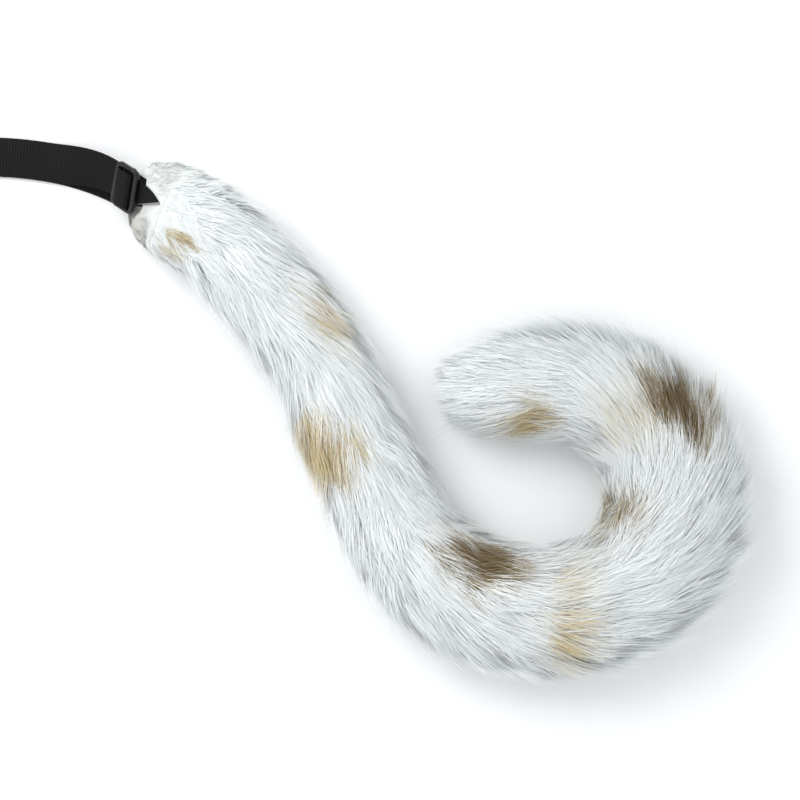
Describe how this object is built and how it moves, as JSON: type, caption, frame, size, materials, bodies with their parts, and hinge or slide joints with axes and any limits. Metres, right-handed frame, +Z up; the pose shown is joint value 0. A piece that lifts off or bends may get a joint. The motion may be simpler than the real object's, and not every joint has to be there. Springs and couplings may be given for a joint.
{
  "type": "costume cat tail belt",
  "caption": "Stuffed faux-fur cat tail with a curled end, sewn to a webbing waist belt with a tri-glide slider; lies flat, worn round the waist.",
  "frame": {"origin": "on the surface that the tail lies on, under the middle of the whole piece", "axes": "+X from the waist loop to the curl of the tail, +Z up out of the surface, +Y towards the slider's side of the tail"},
  "size_m": [0.7242, 0.399, 0.0611],
  "materials": {
    "fur_white": "long-pile white faux fur with tan and brown spots",
    "short_pile": "short-pile grey-white fabric, gathered",
    "webbing_black": "ribbed woven webbing",
    "slider_black": "moulded, semi-gloss"
  },
  "bodies": {
    "root": {"tail": "fur_white", "base_cap": "short_pile", "waist_belt": "webbing_black", "slider_tab": "webbing_black", "slider": "slider_black"}
  },
  "joints": []
}
